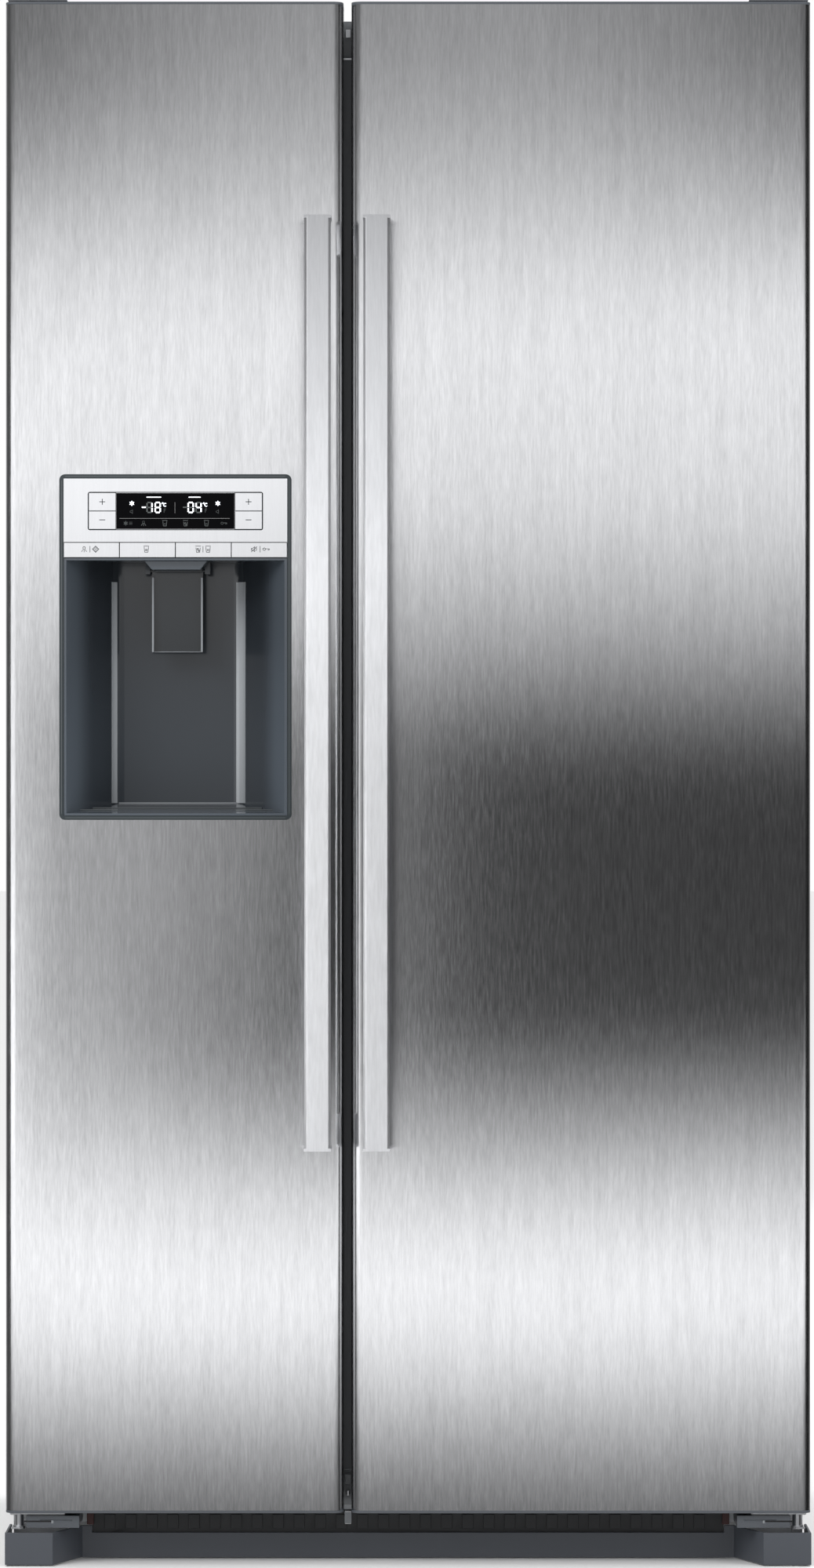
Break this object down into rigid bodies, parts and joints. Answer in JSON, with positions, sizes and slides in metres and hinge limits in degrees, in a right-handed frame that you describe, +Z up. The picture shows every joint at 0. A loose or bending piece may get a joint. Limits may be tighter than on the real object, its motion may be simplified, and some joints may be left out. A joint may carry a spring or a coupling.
{
  "type": "side by side refrigerator",
  "caption": "Free-standing side by side refrigerator with brushed steel doors, bar handles, and an ice and water dispenser in the freezer door.",
  "frame": {"origin": "on the floor under the centre of the overall box", "axes": "+Z up, +X to the viewer's right, doors and handles face -Y"},
  "size_m": [0.91, 0.72, 1.77],
  "materials": {
    "painted_steel": "satin",
    "galvanised": "satin",
    "rigid_foam": "matte",
    "liner_plastic": "satin",
    "grey_plastic": "satin",
    "plinth_plastic": "satin",
    "black_plastic": "satin",
    "hinge_steel": "satin",
    "black_enamel": "gloss",
    "coil_metal": "satin",
    "door_steel": "satin",
    "handle_steel": "satin",
    "gasket_rubber": "matte",
    "clear_plastic": "gloss",
    "shelf_glass": "gloss",
    "recess_plastic": "gloss",
    "panel_silver": "satin",
    "display_glass": "gloss",
    "white_plastic": "satin",
    "roller_nylon": "satin",
    "foot_plastic": "satin"
  },
  "bodies": {
    "root": {"cabinet_shell": "painted_steel", "cabinet_foam": "rigid_foam", "freezer_liner": "liner_plastic", "fridge_liner": "liner_plastic", "mullion_cover": "grey_plastic", "rear_panels": "galvanised", "base_frame": "galvanised", "base_grille": "plinth_plastic", "toe_panel": "black_plastic", "door_hinges": "hinge_steel", "hinge_covers": "grey_plastic", "screws": "hinge_steel", "compressor": "black_enamel", "coils": "coil_metal", "evaporator_cover": "white_plastic", "glass_shelves": "shelf_glass", "ice_maker": "white_plastic", "air_duct": "white_plastic", "rear_fittings": "black_plastic"},
    "condenser_fan": {"condenser_fan": "black_plastic"},
    "evaporator_fan": {"evaporator_fan": "black_plastic"},
    "ice_bucket": {"ice_bucket": "clear_plastic"},
    "ice_auger": {"ice_auger": "hinge_steel"},
    "freezer_drawer": {"freezer_drawer": "clear_plastic"},
    "crisper_upper": {"crisper_upper": "clear_plastic"},
    "crisper_lower": {"crisper_lower": "clear_plastic"},
    "foot_left": {"foot_left": "foot_plastic"},
    "foot_right": {"foot_right": "foot_plastic"},
    "roller_left": {"roller_left": "roller_nylon"},
    "roller_right": {"roller_right": "roller_nylon"},
    "freezer_door": {"freezer_door_skin": "door_steel", "freezer_door_foam": "rigid_foam", "freezer_door_liner": "liner_plastic", "freezer_bin_rails": "liner_plastic", "dispenser_back_rim": "liner_plastic", "dispenser_back_plate": "liner_plastic", "freezer_door_gasket": "gasket_rubber", "freezer_door_caps": "grey_plastic", "freezer_handle": "handle_steel", "freezer_bins": "clear_plastic", "dispenser_frame": "grey_plastic", "dispenser_housing": "recess_plastic", "control_panel": "panel_silver", "display_window": "display_glass", "ice_chute": "recess_plastic"},
    "rocker_left": {"rocker_left": "panel_silver"},
    "rocker_right": {"rocker_right": "panel_silver"},
    "function_key_1": {"function_key_1": "panel_silver"},
    "function_key_2": {"function_key_2": "panel_silver"},
    "function_key_3": {"function_key_3": "panel_silver"},
    "function_key_4": {"function_key_4": "panel_silver"},
    "paddle": {"paddle": "recess_plastic"},
    "fridge_door": {"fridge_door_skin": "door_steel", "fridge_door_foam": "rigid_foam", "fridge_door_liner": "liner_plastic", "fridge_bin_rails": "liner_plastic", "fridge_door_gasket": "gasket_rubber", "fridge_door_caps": "grey_plastic", "fridge_handle": "handle_steel", "fridge_bins": "clear_plastic"}
  },
  "joints": [
    {"name": "freezer_door_hinge", "type": "hinge", "parent": "root", "child": "freezer_door", "pos_m": [-0.4405, -0.284, 0.9], "axis": [0, 0, -1], "range_deg": [0, 125]},
    {"name": "fridge_door_hinge", "type": "hinge", "parent": "root", "child": "fridge_door", "pos_m": [0.4405, -0.284, 0.9], "axis": [0, 0, 1], "range_deg": [0, 125]},
    {"name": "freezer_drawer_slide", "type": "slide", "parent": "root", "child": "freezer_drawer", "axis": [0, -1, 0], "range_m": [0, 0.09]},
    {"name": "crisper_upper_slide", "type": "slide", "parent": "root", "child": "crisper_upper", "axis": [0, -1, 0], "range_m": [0, 0.09]},
    {"name": "crisper_lower_slide", "type": "slide", "parent": "root", "child": "crisper_lower", "axis": [0, -1, 0], "range_m": [0, 0.09]},
    {"name": "ice_bucket_slide", "type": "slide", "parent": "root", "child": "ice_bucket", "axis": [0, -1, 0], "range_m": [0, 0.04]},
    {"name": "ice_auger_spin", "type": "hinge", "parent": "ice_bucket", "child": "ice_auger", "pos_m": [-0.253, -0.182, 1.3725], "axis": [0, 1, 0], "continuous": true},
    {"name": "paddle_swing", "type": "hinge", "parent": "freezer_door", "child": "paddle", "pos_m": [-0.2625, -0.249, 1.1259], "axis": [1, 0, 0], "range_deg": [0, 12], "stiffness_Nm_per_rad": 0.05},
    {"name": "rocker_left_tip", "type": "hinge", "parent": "freezer_door", "child": "rocker_left", "pos_m": [-0.345, -0.30835, 1.191], "axis": [1, 0, 0], "range_deg": [-2.5, 2.5], "stiffness_Nm_per_rad": 0.6},
    {"name": "rocker_right_tip", "type": "hinge", "parent": "freezer_door", "child": "rocker_right", "pos_m": [-0.18, -0.30835, 1.191], "axis": [1, 0, 0], "range_deg": [-2.5, 2.5], "stiffness_Nm_per_rad": 0.6},
    {"name": "function_key_1_press", "type": "slide", "parent": "freezer_door", "child": "function_key_1", "axis": [0, 1, 0], "range_m": [0, 0.001], "stiffness_N_per_m": 500},
    {"name": "function_key_2_press", "type": "slide", "parent": "freezer_door", "child": "function_key_2", "axis": [0, 1, 0], "range_m": [0, 0.001], "stiffness_N_per_m": 500},
    {"name": "function_key_3_press", "type": "slide", "parent": "freezer_door", "child": "function_key_3", "axis": [0, 1, 0], "range_m": [0, 0.001], "stiffness_N_per_m": 500},
    {"name": "function_key_4_press", "type": "slide", "parent": "freezer_door", "child": "function_key_4", "axis": [0, 1, 0], "range_m": [0, 0.001], "stiffness_N_per_m": 500},
    {"name": "condenser_fan_spin", "type": "hinge", "parent": "root", "child": "condenser_fan", "pos_m": [-0.12, 0.261, 0.165], "axis": [1, 0, 0], "continuous": true},
    {"name": "evaporator_fan_spin", "type": "hinge", "parent": "root", "child": "evaporator_fan", "pos_m": [-0.25, 0.248, 0.923], "axis": [0, 1, 0], "continuous": true},
    {"name": "foot_left_screw", "type": "hinge", "parent": "root", "child": "foot_left", "pos_m": [-0.427, -0.198, 0.02], "axis": [0, 0, 1], "continuous": true},
    {"name": "foot_right_screw", "type": "hinge", "parent": "root", "child": "foot_right", "pos_m": [0.427, -0.198, 0.02], "axis": [0, 0, 1], "continuous": true},
    {"name": "roller_left_spin", "type": "hinge", "parent": "root", "child": "roller_left", "pos_m": [-0.427, 0.308, 0.021], "axis": [1, 0, 0], "continuous": true},
    {"name": "roller_right_spin", "type": "hinge", "parent": "root", "child": "roller_right", "pos_m": [0.427, 0.308, 0.021], "axis": [1, 0, 0], "continuous": true}
  ]
}
